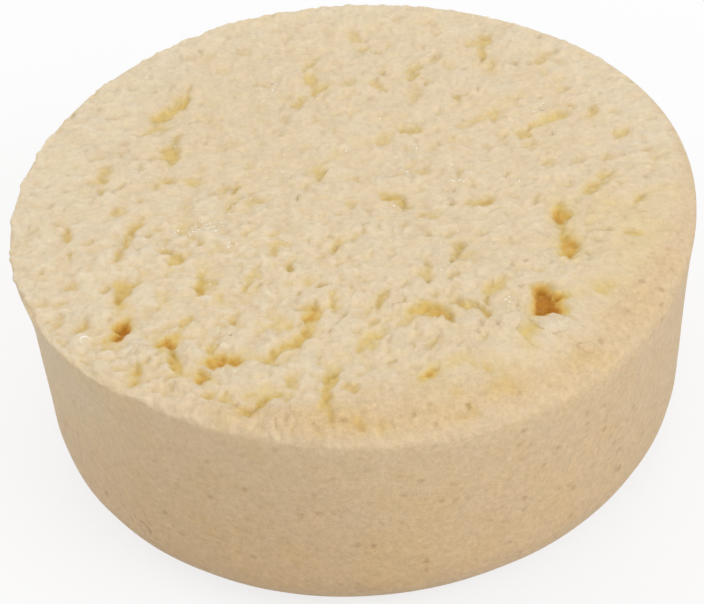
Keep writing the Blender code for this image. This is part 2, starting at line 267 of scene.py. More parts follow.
FRONT_LEFT_PITS = (
    (-22.4, -16.6, 2.5, 1.5, 2.1, 75), (-22.4, -12.0, 4.2, 1.2, 0.8, 90),
    (-22.3, -10.5, 1.8, 1.4, 0.6, 0), (-23.6, -18.2, 1.5, 1.2, 0.5, 0), (-17.9, -19.1, 2.3, 1.6, 1.8, 30),
    (-16.6, -17.2, 2.6, 0.9, 0.6, 60), (-17.4, -21.8, 3.4, 0.9, 0.8, -75),
    (-20.8, -22.8, 3.2, 1.2, 0.55, 75), (-14.9, -24.3, 1.7, 1.2, 0.8, 70),
    (-13.5, -22.2, 2.0, 1.3, 1.4, 20), (-11.8, -22.3, 1.8, 1.2, 1.4, -20),
    (-4.2, -16.8, 2.2, 1.4, 1.2, 80), (-5.0, -16.0, 1.6, 0.6, 0.5, 0), (-27.9, -2.2, 2.8, 1.0, 0.6, 85),
    (-27.4, -5.6, 1.2, 0.8, 0.4, 60), (-21.6, -2.8, 4.0, 1.1, 0.8, 70), (-22.6, -5.6, 2.2, 0.8, 0.4, 85),
    (-17.2, -7.3, 2.2, 1.1, 0.6, 40), (-18.1, -6.0, 1.2, 0.9, 0.4, 0), (-14.9, -11.4, 4.0, 0.9, 0.8, 88),
    (-10.1, -11.2, 3.0, 0.9, 0.5, 75), (-6.4, -10.2, 1.2, 0.6, 0.6, 60), (-1.5, -7.5, 2.0, 1.3, 0.4, 80),
    (-3.1, -26.8, 4.0, 1.3, 0.7, 80), (-3.5, -29.6, 2.6, 1.1, 0.6, 88), (-8.8, -28.2, 2.6, 1.0, 0.7, 30),
    (-10.6, -29.4, 1.8, 1.2, 0.8, 0), (-7.4, -27.4, 1.2, 0.6, 0.4, 20), (-13.8, -20.6, 1.8, 0.9, 0.5, 80),
    (-26.0, -15.8, 3.0, 0.9, 0.3, 85), (-14.2, -27.1, 1.4, 1.0, 0.4, 0), (-11.9, 0.0, 1.2, 0.6, 0.4, 80),
    (-20.4, -9.2, 1.6, 1.2, 0.3, 90),
    (-7.6, -18.3, 2.8, 2.2, 0.4, 30), (-1.0, -31.9, 1.8, 1.4, 0.5, 70), (-18.8, -13.6, 1.6, 0.8, 0.3, 70),
    (-11.6, -16.9, 1.8, 0.9, 0.3, 50), (-7.5, -7.0, 2.2, 0.8, 0.4, 90), (-2.2, -15.5, 2.8, 0.8, 0.5, 80),
)
BACK_LEFT_PITS = (
    (-18.3, 16.8, 3.8, 1.4, 0.9, 55), (-16.6, 18.7, 2.5, 1.3, 1.1, 60), (-19.6, 14.4, 2.2, 0.7, 0.7, 45),
    (-15.6, 20.7, 1.2, 0.6, 0.4, 70), (-17.6, 9.8, 3.0, 1.4, 1.0, 75), (-17.0, 12.2, 2.8, 0.8, 0.6, 70),
    (-24.4, 7.4, 2.8, 1.2, 0.65, 85), (-25.4, 6.2, 2.2, 0.9, 0.4, 20), (-24.9, 4.6, 1.6, 0.6, 0.6, 95),
    (-18.2, 5.4, 2.4, 0.9, 0.5, -10), (-15.9, 5.0, 2.2, 0.9, 0.5, -15), (-11.1, 3.1, 2.2, 0.8, 0.8, 75),
    (-11.2, 1.0, 0.9, 0.6, 0.4, 90), (-3.0, 23.4, 2.2, 0.9, 0.5, 50), (-2.9, 20.6, 2.4, 1.0, 0.8, 105),
    (-2.1, 18.8, 2.0, 1.1, 0.8, 40), (-4.5, 16.4, 2.2, 0.9, 0.6, 70), (-2.8, 4.4, 2.2, 1.4, 0.7, 70),
    (-1.1, 7.4, 2.0, 0.8, 0.3, 60), (-23.0, 10.6, 1.4, 0.8, 0.3, 60), (-27.2, 17.0, 1.6, 1.2, 0.3, 0),
    (-15.8, 26.5, 1.4, 1.2, 0.3, 0), (-11.4, 10.6, 2.0, 0.8, 0.3, 80), (-2.4, 13.0, 1.4, 1.0, 0.3, 0),
    (-20.6, 2.6, 1.6, 0.7, 0.3, 120), (-8.8, 0.5, 1.4, 0.9, 0.4, 20), (-22.8, 0.9, 2.2, 1.2, 0.4, 45),
)
BACK_RIGHT_PITS = (
    (15.7, 25.2, 2.2, 1.4, 0.9, 45), (15.4, 23.0, 2.8, 0.8, 0.7, 80), (14.6, 24.6, 1.8, 1.2, 0.6, 0),
    (2.3, 28.2, 2.2, 0.9, 0.5, 100), (8.0, 21.1, 2.2, 1.0, 0.7, 30), (8.0, 19.7, 1.8, 0.8, 0.6, 15),
    (4.0, 18.6, 2.4, 0.8, 0.6, -50), (4.9, 20.8, 1.4, 0.8, 0.4, 90), (21.6, 20.6, 1.6, 1.0, 0.5, 70),
    (22.4, 21.9, 1.8, 0.9, 0.4, 40), (21.4, 10.9, 3.4, 1.3, 0.7, 20), (19.8, 9.7, 2.4, 1.0, 0.7, 30),
    (18.4, 8.4, 1.4, 1.0, 0.7, 45), (25.6, 11.2, 2.0, 1.0, 0.7, 60), (27.9, 7.0, 2.0, 0.8, 0.7, 55),
    (7.0, 10.6, 2.6, 1.0, 0.7, -20), (3.9, 9.6, 2.2, 1.4, 0.4, 30), (18.3, 14.4, 2.6, 1.2, 0.3, 20),
    (11.4, 2.8, 1.8, 0.9, 0.4, 60), (16.3, 20.4, 2.4, 0.9, 0.4, 70), (6.5, 4.7, 1.2, 0.6, 0.4, 20),
    (5.6, 26.0, 1.2, 0.7, 0.3, 60), (2.9, 25.8, 1.4, 0.7, 0.5, 0), (12.1, 15.1, 1.4, 0.8, 0.6, 30),
    (25.2, 0.4, 1.4, 0.9, 0.7, 0), (20.4, 2.9, 1.4, 0.8, 0.3, 70), (11.3, 8.2, 1.4, 0.7, 0.3, 80),
    (15.5, 11.9, 1.6, 0.8, 0.6, 60), (0.9, 17.2, 1.2, 0.7, 0.3, 60), (31.0, 2.8, 1.4, 1.0, 0.3, 80),
    (13.8, 11.3, 2.0, 1.0, 0.5, 20), (1.2, 19.4, 2.4, 0.8, 0.3, 70),
)
print("pits:", [len(rows) for rows in (FRONT_RIGHT_PITS, FRONT_LEFT_PITS, BACK_LEFT_PITS, BACK_RIGHT_PITS)])

# %% The crack
# Places, widths and depths are in millimetres, as in the rows of the pits.
CRACK_ROUTE = np.array(((-8.8, -22.7), (-7.2, -21.4), (-5.8, -20.3), (-4.6, -18.8), (-4.2, -17.2)))
CRACK_WIDTH = 1.0
CRACK_DEPTH = 0.72
CRACK_LAP = 1.5


def crack_links(route):
    """The crack as rows like the pits': one bowl along each step of the route, longer than the step."""
    step = np.diff(route, axis=0)
    middle = (route[:-1] + route[1:]) / 2
    length = np.hypot(step[:, 0], step[:, 1]) * CRACK_LAP
    turn = np.degrees(np.arctan2(step[:, 1], step[:, 0]))
    plain = np.ones(len(step))
    return np.column_stack((middle, length, CRACK_WIDTH * plain, CRACK_DEPTH * plain, turn))


CRACK = crack_links(CRACK_ROUTE)
ALL_PITS = np.vstack((FRONT_RIGHT_PITS, FRONT_LEFT_PITS, BACK_LEFT_PITS, BACK_RIGHT_PITS, CRACK))
print("crack links:", len(CRACK))

# %% Depth of a pit, a torn hole and a dent
# Shares of the way from a pit's middle to its outline where its edge, and the halo round it, start and end.
BOWL_EDGE = (0.55, 1.4)
HALO_EDGE = (0.6, 3.0)
BOWL_SHARE = 0.86
HOLE_BODY = np.array(((16.4, -15.0), (15.7, -20.2), (17.7, -19.5), (18.9, -17.7), (18.1, -15.2))) * MM
HOLE_LOBE = np.array(((17.0, -18.8), (19.7, -20.7), (19.4, -17.6), (18.2, -16.8))) * MM
HOLE_LIP = 0.1 * MM
HOLE_WALL = 0.8 * MM
HOLE_DEPTH = 2.7 * MM
# From the least to the most, as shares of a lattice square and of the full depth. Below 0 is no dent.
DENT_RADIUS = (0.22, 0.46)
DENT_DEPTH = (-0.8, 1.0)
DENT_FLOOR = 0.35


def bowl(x, y, row):
    """Depth of one pit: an ellipse with a soft edge and a blunt floor, in a halo three times as large."""
    place_x, place_y, length, width, depth, turn = row
    turn = math.radians(turn)
    away_x, away_y = x - place_x * MM, y - place_y * MM
    along = (away_x * math.cos(turn) + away_y * math.sin(turn)) / (length * MM / 2)
    across = (away_y * math.cos(turn) - away_x * math.sin(turn)) / (width * MM / 2)
    out = np.hypot(along, across)
    return depth * MM * (1 - BOWL_SHARE * ease(*BOWL_EDGE, out) - (1 - BOWL_SHARE) * ease(*HALO_EDGE, out))


def torn_hole(x, y, corners):
    """Depth of one part of the torn hole at the front right. Its corners run anticlockwise, and the depth
    follows the least of the distances to the sides along a soft step."""
    inside = np.full(x.shape, HOLE_WALL)
    for (x0, y0), (x1, y1) in zip(corners, np.roll(corners, -1, axis=0)):
        from_side = ((x1 - x0) * (y - y0) - (y1 - y0) * (x - x0)) / math.hypot(x1 - x0, y1 - y0)
        inside = np.minimum(inside, from_side)
    return HOLE_DEPTH * ease(-HOLE_LIP, HOLE_WALL, inside)


def dimples(x, y, size, seed):
    """Small dents from 0 to 1, at most one in each square of a lattice. The square's own random numbers
    give the dent's place, its radius and its depth, and the deepest of the nine nearest dents counts."""
    column, row = np.floor(x / size), np.floor(y / size)
    dent = np.zeros(x.shape)
    for right in (-1, 0, 1):
        for up in (-1, 0, 1):
            chance = [corner_value(column + right, row + up, seed + number) for number in range(4)]
            away = np.hypot(x / size - column - right - chance[0], y / size - row - up - chance[1])
            reach = between(*DENT_RADIUS, chance[2])
            depth = np.clip(between(*DENT_DEPTH, chance[3]), 0, 1)
            dent = np.maximum(dent, depth * (1 - ease(DENT_FLOOR * reach, reach, away)))
    return dent


hole_middle = HOLE_BODY.mean(axis=0)[:, None]
print("depth in the torn hole:", round(float(torn_hole(*hole_middle, HOLE_BODY)[0] / MM), 2), "mm")

# %% [markdown]
# ## The crumbled face
# The face is a height over a disc: broad swells, lumps in two sizes, finer hills and the pits. A lump is a
# hill without its sign, with the crease between two lumps blunted, which is how damp crumbs look when they
# are pressed together. The lumps are largest at the front left. At the left the crumbling comes up to the
# rim's edge, and the skin that the mould gave the soap starts there. At the front right the skin reaches
# some millimetres in over the rim, and the lumps fade out on it. The height is worked out on an unrolled
# disc that goes on over the edge.

# %% Where the face is crumbled
SKIN_BEARING = math.radians(-40)
SKIN_SPREAD = 7
SKIN_START = 0.25 * MM
SKIN_REACH = 3.1 * MM
SKIN_FADE = 0.4 * MM
EDGE_WANDER = 0.32 * MM
SKIN_WANDER = 0.55 * MM
WANDER_LENGTH = 3.0 * MM
WANDER_SEED = 17


def inside_rim(x, y):
    """Way in from the outer end of the rim's edge, on the unrolled disc."""
    bearing = np.arctan2(y, x)
    return face_radius(bearing) + edge_length(bearing) - np.hypot(x, y)


def crumbling(x, y):
    """How broken the surface is, from 0 to 1: a soft step of the way in from the rim, less the reach of the
    mould's skin at this bearing, with rough hills added. The step is a little wider than the reach."""
    whole = facing(np.arctan2(y, x), SKIN_BEARING, SKIN_SPREAD)
    wander = (EDGE_WANDER + SKIN_WANDER * whole) * rough_hills(x, y, WANDER_LENGTH, WANDER_SEED)
    past_skin = inside_rim(x, y) - SKIN_START - SKIN_REACH * whole + wander
    return ease(0, 1, past_skin / (SKIN_FADE + SKIN_REACH * whole))


print("the skin's reach:", SKIN_START / MM, "to", round((SKIN_START + SKIN_REACH) / MM, 2), "mm")

# %% Heaps and lumps
CRUMB_BOXES = {node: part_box(node) for node in sorted(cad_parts) if node.startswith("grain_")}
MOUND_HEIGHT = 0.30 * MM
MOUND_FALL = (0.7, 2.0)
BLUNT = 0.16


def span(start, end):
    """A start and an end in millimetres, as lengths in metres."""
    return start * MM, end * MM


COARSE_SPAN = span(14, -12)


def mounds(x, y):
    """Height of the soap that is heaped round the standing crumbs: full in the middle of the ellipse that
    fits each crumb's box, and down along a soft step to nothing at twice that ellipse."""
    heap = np.zeros(x.shape)
    for low, high in CRUMB_BOXES.values():
        middle, half = (low + high) / 2, (high - low) / 2
        out = np.hypot((x - middle.x) / half.x, (y - middle.y) / half.y)
        heap = np.maximum(heap, MOUND_HEIGHT * (1 - ease(*MOUND_FALL, out)))
    return heap


def front_left(x, y):
    """Share of the coarse crumbling, which is 1 in the front left quarter."""
    return ease(*COARSE_SPAN, y) * ease(*COARSE_SPAN, x)


def lumps(x, y, length, seed):
    """Rounded lumps from 0 to about 1 with blunt valleys between them: the square root of the hills' square
    plus a small square, which is close to their height without its sign."""
    return np.sqrt(hills(x, y, length, seed) ** 2 + BLUNT**2) - BLUNT


print("crumb boxes:", len(CRUMB_BOXES))

# %% Height of the face
# A row is a height and a length in millimetres and a seed. Lumps have a second height, at the front left.
SWELLS = ((0.30, 17, 3), (0.16, 7, 4))
LUMPS = ((0.23, 0.67, 3.2, 51), (0.23, 0.39, 1.6, 52))
SMALL_HILLS = (0.15, 1.2, 53)
GRAIN_HILLS = (0.11, 0.7, 54)
DENTS = ((0.50, 2.6, 61), (0.36, 1.3, 71))
SWELL_START = 0.6
LONG_PUSH = 0.50 * MM
LONG_BEND = 2.0 * MM
SHORT_PUSH = 0.22 * MM
SHORT_BEND = 0.8 * MM
BEND_SEED_X = 21
BEND_SEED_Y = 31
TORN_BEND = 0.3
LOBE_SHARE = 0.75
# How much of a dent counts as pit depth, which is also painted as amber shade, and how much of a dent and of
# a pit is in the height.
DENT_PIT_SHARE = 0.5
DENT_SINK = 0.7
SHALLOW_SINK = 0.75
DEEP_SINK = 0.42
DEEP_SPAN = span(0.3, 1.4)


def bent_plane(x, y):
    """The plane with each of its points pushed aside by rough hills and by shorter ones."""

    def push(seed):
        long_push = LONG_PUSH * rough_hills(x, y, LONG_BEND, seed)
        return long_push + SHORT_PUSH * hills(x, y, SHORT_BEND, seed + 1)

    return x + push(BEND_SEED_X), y + push(BEND_SEED_Y)


def pressed_crumbs(x, y, bent):
    """Height of the pressed crumbs: lumps on the bent plane, which are higher at the front left, with small
    hills on the same plane and grains on the plain one."""
    coarse = front_left(x, y)
    height = np.zeros(x.shape)
    for low, high, length, seed in LUMPS:
        height = height + between(low, high, coarse) * lumps(*bent, length * MM, seed)
    for (tall, length, seed), plane in ((SMALL_HILLS, bent), (GRAIN_HILLS, (x, y))):
        height = height + tall * hills(*plane, length * MM, seed)
    return height * MM


def pit_depth(x, y, bent, dents):
    """Depth of the hollows, which are sunk into the height and painted as amber shade: the deepest of the
    dents' share, the two parts of the torn hole and every pit. The torn hole is measured in a plane that is
    bent less than the pits'."""
    torn_x, torn_y = between(x, bent[0], TORN_BEND), between(y, bent[1], TORN_BEND)
    deep = np.maximum(DENT_PIT_SHARE * dents, torn_hole(torn_x, torn_y, HOLE_BODY))
    deep = np.maximum(deep, LOBE_SHARE * torn_hole(torn_x, torn_y, HOLE_LOBE))
    for row in ALL_PITS:
        deep = np.maximum(deep, bowl(*bent, row))
    return deep


def face_relief(x, y):
    """Height over the face's plane and the depth of the hollows alone, both in metres; that depth is painted
    as amber shade. The height is swells, mounds and pressed crumbs less the hollows. It takes three quarters
    of a shallow hollow's depth and less than half of a deep one's, because a deep hollow shows mostly by its
    painted amber shade."""
    broken = crumbling(x, y)
    bent = bent_plane(x, y)
    swell = sum(height * MM * hills(x, y, length * MM, seed) for height, length, seed in SWELLS)
    large, small = (depth * MM * dimples(*bent, size * MM, seed) for depth, size, seed in DENTS)
    dents = broken * np.maximum(large, small)
    deep = pit_depth(x, y, bent, dents)
    sunk = deep * between(SHALLOW_SINK, DEEP_SINK, ease(*DEEP_SPAN, deep))
    raised = swell * ease(0, SWELL_START, broken) + mounds(x, y) + pressed_crumbs(x, y, bent) * broken
    return raised - np.maximum(DENT_SINK * dents, sunk), deep


print("sizes of the lumps in mm:", [size for low, high, size, seed in LUMPS])

# %% Height of the finished top
EDGE_END = 0.99
EDGE_STEPS = 16


def flat_place(radius, bearing):
    """Place across and along of a radius and a bearing: the radius times the bearing's cosine and sine."""
    return radius * np.cos(bearing), radius * np.sin(bearing)


def top_height(x, y):
    """Height of the finished top: the face, and past it the quarter ellipse of the rim's edge. The relief
    is looked up as far out as the way over the ellipse, which is the distance times the mean stretch of a
    few short steps."""
    bearing, radius = np.arctan2(y, x), np.hypot(x, y)
    width, drop = rim_round(bearing)
    over = np.clip((radius - face_radius(bearing)) / width, 0, EDGE_END)
    steps = over[..., None] * (np.arange(EDGE_STEPS) + 0.5) / EDGE_STEPS
    slope = (drop / width)[..., None] * steps / np.sqrt(1 - steps**2)
    way_over = width * over * np.sqrt(1 + slope**2).mean(axis=-1)
    relief = face_relief(*flat_place(np.minimum(radius, face_radius(bearing)) + way_over, bearing))[0]
    return HEIGHT - drop * (1 - np.sqrt(1 - over**2)) + relief


print("height at the middle:", round(float(top_height(np.zeros(1), np.zeros(1))[0] / MM), 2), "mm")

# %% [markdown]
# ## Stain, painted shade and skin
# The soap's colour drifts slowly over the face, and it is pinker and more even where the mould's skin is
# left. The hollows and creases are painted amber and darker, as shade, and the crests paler, as light. A
# picture wrapped over the mesh could carry that. Here two numbers on each point do, worked out from the same
# places as the shape, so the colour can't slide off the form: the stain and painted shade of the hollows,
# and the share of skin, which on the wall also grows towards the foot and so paints it darker there, as
# shade.

# %% Drift of the stain
FRONT_STAIN = 0.05
FRONT_SPAN = span(-14, -30)
FRONT_MEAN = 0.6
FRONT_MOTTLE = 0.8
MOTTLE_LENGTH = 5 * MM
MOTTLE_SEED = 81
RIGHT_STAIN = 0.07
RIGHT_SPAN = span(19, 27)
RIGHT_BACK_SPAN = span(4, -6)
RIGHT_FRONT_SPAN = span(-28, -20)
CHIP_PALE = 0.06
CHIP_PLACE = span(18.6, -22.4)
CHIP_SIZE = span(5.5, 3.4)
BACK_PALE = 0.07
BACK_SPAN = span(-12, 10)
RIM_SPAN = span(1, 9)
LEFT_PALE = 0.04
LEFT_SPAN = span(-14, -26)


def tone_drift(x, y):
    """Slow change of the colour over the face: more stain at the front and at the right, and paler beside
    the rim at the back, at the left, and on a pale chip in front of the torn hole. Each is a soft step or a
    product of some."""
    front = ease(*FRONT_SPAN, y) * (FRONT_MEAN + FRONT_MOTTLE * hills(x, y, MOTTLE_LENGTH, MOTTLE_SEED))
    right = ease(*RIGHT_SPAN, x) * ease(*RIGHT_BACK_SPAN, y) * ease(*RIGHT_FRONT_SPAN, y)
    chip_out = np.hypot((x - CHIP_PLACE[0]) / CHIP_SIZE[0], (y - CHIP_PLACE[1]) / CHIP_SIZE[1])
    chip = 1 - ease(0, 1, chip_out)
    back = (1 - ease(*RIM_SPAN, RIM_RADIUS - np.hypot(x, y))) * ease(*BACK_SPAN, y)
    left = ease(*LEFT_SPAN, x)
    return FRONT_STAIN * front + RIGHT_STAIN * right - CHIP_PALE * chip - BACK_PALE * back - LEFT_PALE * left


print("drift at the middle:", round(float(tone_drift(np.zeros(1), np.zeros(1))[0]), 3))

# %% Skin left on the face
FLAT_SKIN = 0.50
RIGHT_SKIN = 0.45
RIGHT_BEARING = math.radians(-33)
RIGHT_SPREAD = 24
SMEAR_BEARING = math.radians(-72)
SMEAR_SPREAD = 8
SMEAR_GAIN = 1.5
SMEAR_FULL = 2.3 * MM
SMEAR_REACH = 5.2 * MM
SMEAR_DEEPER = 4.6 * MM
SMEAR_DEEP_BEARING = math.radians(-82)
SMEAR_DEEP_SPREAD = 30
SMEAR_MEAN = 0.95
SMEAR_MOTTLE = 0.4
SMEAR_LENGTH = 5 * MM
SMEAR_SEED = 91


def whole_skin(x, y):
    """Share of the mould's skin that is left on the face: where the soap isn't crumbled, with more of it at
    the right, or a mottled smear along the front rim, which is a soft step of the way in from the rim."""
    bearing = np.arctan2(y, x)
    right = RIGHT_SKIN * facing(bearing, RIGHT_BEARING, RIGHT_SPREAD)
    left_whole = (FLAT_SKIN + right) * (1 - crumbling(x, y))
    reach = SMEAR_REACH + SMEAR_DEEPER * facing(bearing, SMEAR_DEEP_BEARING, SMEAR_DEEP_SPREAD)
    along_rim = np.minimum(1, SMEAR_GAIN * facing(bearing, SMEAR_BEARING, SMEAR_SPREAD))
    mottle = np.clip(SMEAR_MEAN + SMEAR_MOTTLE * rough_hills(x, y, SMEAR_LENGTH, SMEAR_SEED), 0, 1)
    return np.maximum(left_whole, ease(reach, SMEAR_FULL, inside_rim(x, y)) * along_rim * mottle)


print("skin at the middle:", round(float(whole_skin(np.zeros(1), np.zeros(1))[0]), 3))

# %% [markdown]
# ## The cake's mesh
# A disc made of rings and spokes crowds its faces at the middle. A square grid that is bent until its rings
# are circles has faces of one size all over, so the grain of the soap is equally fine everywhere. The
# grid's outer ring has as many points as the wall, so the two are joined point to point, and a single face
# closes the base.

# %% Grid of the face
FACE_CELLS = 248


def disc_from_square(u, v):
    """Share of the radius and bearing for square coordinates from -1 to 1. The larger coordinate gives the
    share, and the ratio of the smaller to the larger turns the bearing by up to 45 degrees from the middle
    of that side."""
    flat = np.abs(u) >= np.abs(v)
    major = np.where(flat, u, v)
    swing = np.pi / 4 * np.where(flat, v, u) / np.where(major == 0, 1, major)
    bearing = np.where(flat, swing, np.pi / 2 - swing) + np.where(major < 0, np.pi, 0)
    return np.abs(major), bearing


def outer_ring(cells):
    """Index of each point round the grid's outside, anticlockwise from the corner at the front right."""
    index = np.arange((cells + 1) ** 2).reshape(cells + 1, cells + 1)
    return np.concatenate((index[-1, :-1], index[:0:-1, -1], index[0, :0:-1], index[:-1, 0]))


side = np.linspace(-1, 1, FACE_CELLS + 1)
face_share, face_bearing = disc_from_square(*np.meshgrid(side, side, indexing="ij"))
face_x, face_y = flat_place(face_share * face_radius(face_bearing), face_bearing)
face_height, face_deep = face_relief(face_x, face_y)
print("face points:", face_x.size, "deepest pit:", round(float(face_deep.max() / MM), 2), "mm")

# %% The wall below the face
FOOT_ROWS = 7
WALL_ROWS = 14
EDGE_ROWS = 10


def wall_rows(bearing):
    """Radius and height of every row of the wall, from the base to just below the face. The foot and the
    rim are quarter rounds: their height follows the sine and their inset the cosine of the same angle, or
    the other way."""
    width, drop = rim_round(bearing)
    turn = np.linspace(0, np.pi / 2, FOOT_ROWS)[:, None]
    foot_z = FOOT_ROUND * (1 - np.cos(turn)) + 0 * bearing
    foot_r = wall_radius(foot_z, bearing) - FOOT_ROUND * (1 - np.sin(turn))
    rise = np.linspace(0, 1, WALL_ROWS + 2)[1:-1, None]
    wall_z = FOOT_ROUND + (HEIGHT - drop - FOOT_ROUND) * rise
    turn = np.linspace(0, np.pi / 2, EDGE_ROWS + 1)[:-1, None]
    edge_z = HEIGHT - drop * (1 - np.sin(turn))
    edge_r = wall_radius(edge_z, bearing) - width * (1 - np.cos(turn))
    return np.vstack((foot_r, wall_radius(wall_z, bearing), edge_r)), np.vstack((foot_z, wall_z, edge_z))


rim_index = outer_ring(FACE_CELLS)
rim_bearing = face_bearing.ravel()[rim_index]
wall_r, wall_z = wall_rows(rim_bearing)
print("wall points:", wall_r.size)

# %% Relief of the wall
RIPPLE_HEIGHT = 0.07 * MM
RIPPLE_LENGTH = 9 * MM
RIPPLE_SEED = 7
RIPPLE_SLANT_X = 0.4
RIPPLE_SLANT_Y = -0.7
RIPPLE_SPAN = span(0, 3)
RIM_SHARE = 0.8
RIM_FADE = span(0, 2)

# Which way each point of the wall faces, and how far out it lies when the wall is unrolled from the face.
run_r, run_z = np.gradient(wall_r, axis=0), np.gradient(wall_z, axis=0)
facing_up = -run_r / np.hypot(run_r, run_z)
facing_out = run_z / np.hypot(run_r, run_z)
step_r = np.diff(wall_r, axis=0, append=face_radius(rim_bearing)[None])
step_z = np.diff(wall_z, axis=0, append=HEIGHT)
unrolled = face_radius(rim_bearing) + np.cumsum(np.hypot(step_r, step_z)[::-1], axis=0)[::-1]
unrolled_x, unrolled_y = flat_place(unrolled, rim_bearing)

# The face's relief goes on over the rim's edge, and below it the wall has only a faint ripple.
edge_height, edge_deep = face_relief(unrolled_x, unrolled_y)
wall_x, wall_y = flat_place(wall_r, rim_bearing)
slanted_x, slanted_y = wall_x + RIPPLE_SLANT_X * wall_z, wall_y + RIPPLE_SLANT_Y * wall_z
ripple = RIPPLE_HEIGHT * hills(slanted_x, slanted_y, RIPPLE_LENGTH, RIPPLE_SEED) * ease(*RIPPLE_SPAN, wall_z)
past_edge = unrolled - face_radius(rim_bearing) - RIM_SHARE * edge_length(rim_bearing)
stand_off = between(edge_height, ripple, ease(*RIM_FADE, past_edge))
push_x, push_y = flat_place(stand_off * facing_out, rim_bearing)
wall_x, wall_y, wall_z = wall_x + push_x, wall_y + push_y, wall_z + stand_off * facing_up
print("the wall stands off by up to", round(float(np.abs(stand_off).max() / MM), 2), "mm")

# %% Stain and painted shade on the points
# A reach is a number of cells of the face's grid.
CREASE_REACH = 5
CREASE_SHADE = 0.3
COARSE_CREASE_SHADE = 1.3
SHADE_PAINT_REACH = 2
SHADE_PAINT_DEPTH = 2.4 * MM
SOFTENINGS = 3
WALL_PAINTED_LIGHT = 0.12
WALL_PALE_BEARING = math.radians(-165)
WALL_PALE_SPREAD = 8
WALL_PALE_SPAN = span(8, 24)


def softened(values, reach):
    """The mean of each point's square of neighbours, taken a few times: running sums along both ways, less
    the same sums a square's width before."""
    width = 2 * reach + 1
    for _ in range(SOFTENINGS):
        for axis in (0, 1):
            ends = [(0, 0), (0, 0)]
            ends[axis] = (reach + 1, reach)
            total = np.cumsum(np.pad(values, ends, mode="edge"), axis=axis)
            after = np.split(total, [width], axis=axis)[1]
            before = np.split(total, [-width], axis=axis)[0]
            values = (after - before) / width
    return values


# Creases lie below the mean of their neighbours and crests above it. Creases, and the hollows' depth, half
# of it softened so that it reaches past their edges, are painted amber and darker as shade; crests are
# painted paler as light.
face_crease = softened(face_height, CREASE_REACH) - face_height
crease_shade = between(CREASE_SHADE, COARSE_CREASE_SHADE, front_left(face_x, face_y))
face_shade_and_stain = (face_deep + softened(face_deep, SHADE_PAINT_REACH)) / 2 + crease_shade * face_crease
face_shade_and_stain = face_shade_and_stain / SHADE_PAINT_DEPTH + tone_drift(face_x, face_y)
edge_broken = crumbling(unrolled_x, unrolled_y)
edge_shade_and_stain = edge_deep / SHADE_PAINT_DEPTH + tone_drift(wall_x, wall_y) * edge_broken
# The upper wall at the left is painted paler: painted light and sheen for the light that falls on it and
# glances off it.
pale = facing(rim_bearing, WALL_PALE_BEARING, WALL_PALE_SPREAD) * ease(*WALL_PALE_SPAN, wall_z)
edge_shade_and_stain = edge_shade_and_stain - WALL_PAINTED_LIGHT * pale
hollow = np.concatenate((face_shade_and_stain.ravel(), edge_shade_and_stain.ravel()))
print("stain and painted shade from", round(float(hollow.min()), 2), "to", round(float(hollow.max()), 2))

# %% Skin and painted shade on the points
RIM_SKIN_AND_SHADE = 0.20
WORN_SKIN_AND_SHADE = 0.65
WORN_SKIN_BEARING = math.radians(-25)
WORN_SKIN_SPREAD = 6
# The skin of the face gives way to that of the wall between these shares of facing outwards.
WALL_FACING = (0.2, 0.9)

worn = facing(rim_bearing, WORN_SKIN_BEARING, WORN_SKIN_SPREAD)
# The wall's skin share runs from 1 at the foot to the rim's share at the top, so the skin tone paints the
# wall darker towards the foot: painted shade.
wall_skin_and_shade = (1 - edge_broken) * between(1, between(RIM_SKIN_AND_SHADE, WORN_SKIN_AND_SHADE, worn), wall_z / HEIGHT)
edge_skin = between(whole_skin(unrolled_x, unrolled_y), wall_skin_and_shade, ease(*WALL_FACING, facing_out))
skin = np.concatenate((whole_skin(face_x, face_y).ravel(), edge_skin.ravel()))
print("mean share of skin:", round(float(skin.mean()), 2))


# %% Join the face, the wall and the base
def grid_quads(index):
    """Four corners of every cell of a two-way table of point numbers."""
    corners = (index[:-1, :-1], index[1:, :-1], index[1:, 1:], index[:-1, 1:])
    return np.stack(corners, axis=-1).reshape(-1, 4)


def closed_mesh(name, points, quads, others, layers):
    """A smooth mesh from an array of points, an array of quads and a list of other faces, with named number
    layers on its points."""
    mesh = bpy.data.meshes.new(name)
    mesh.from_pydata(points.tolist(), [], quads.tolist() + others)
    for layer, values in layers.items():
        numbers = mesh.attributes.new(layer, "FLOAT", "POINT").data
        numbers.foreach_set("value", np.ascontiguousarray(values, np.float32))
    mesh.shade_smooth()
    mesh.update()
    return placed(name, mesh)


face_points = np.column_stack((face_x.ravel(), face_y.ravel(), (HEIGHT + face_height).ravel()))
wall_points = np.column_stack((wall_x.ravel(), wall_y.ravel(), wall_z.ravel()))
face_index = np.arange(face_x.size).reshape(face_x.shape)
wall_index = face_x.size + np.arange(wall_x.size).reshape(wall_x.shape)
rows = np.vstack((wall_index, rim_index))
around = np.column_stack((rows, rows[:, :1]))
quads = np.vstack((grid_quads(face_index), grid_quads(around)[:, ::-1]))
points = np.vstack((face_points, wall_points))
base_cap = [wall_index[0][::-1].tolist()]
cake = closed_mesh("pressed_cake", points, quads, base_cap, {"hollow": hollow, "skin": skin})
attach(cake, "root")
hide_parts("soap_cake")
print("cake faces:", len(cake.data.polygons))
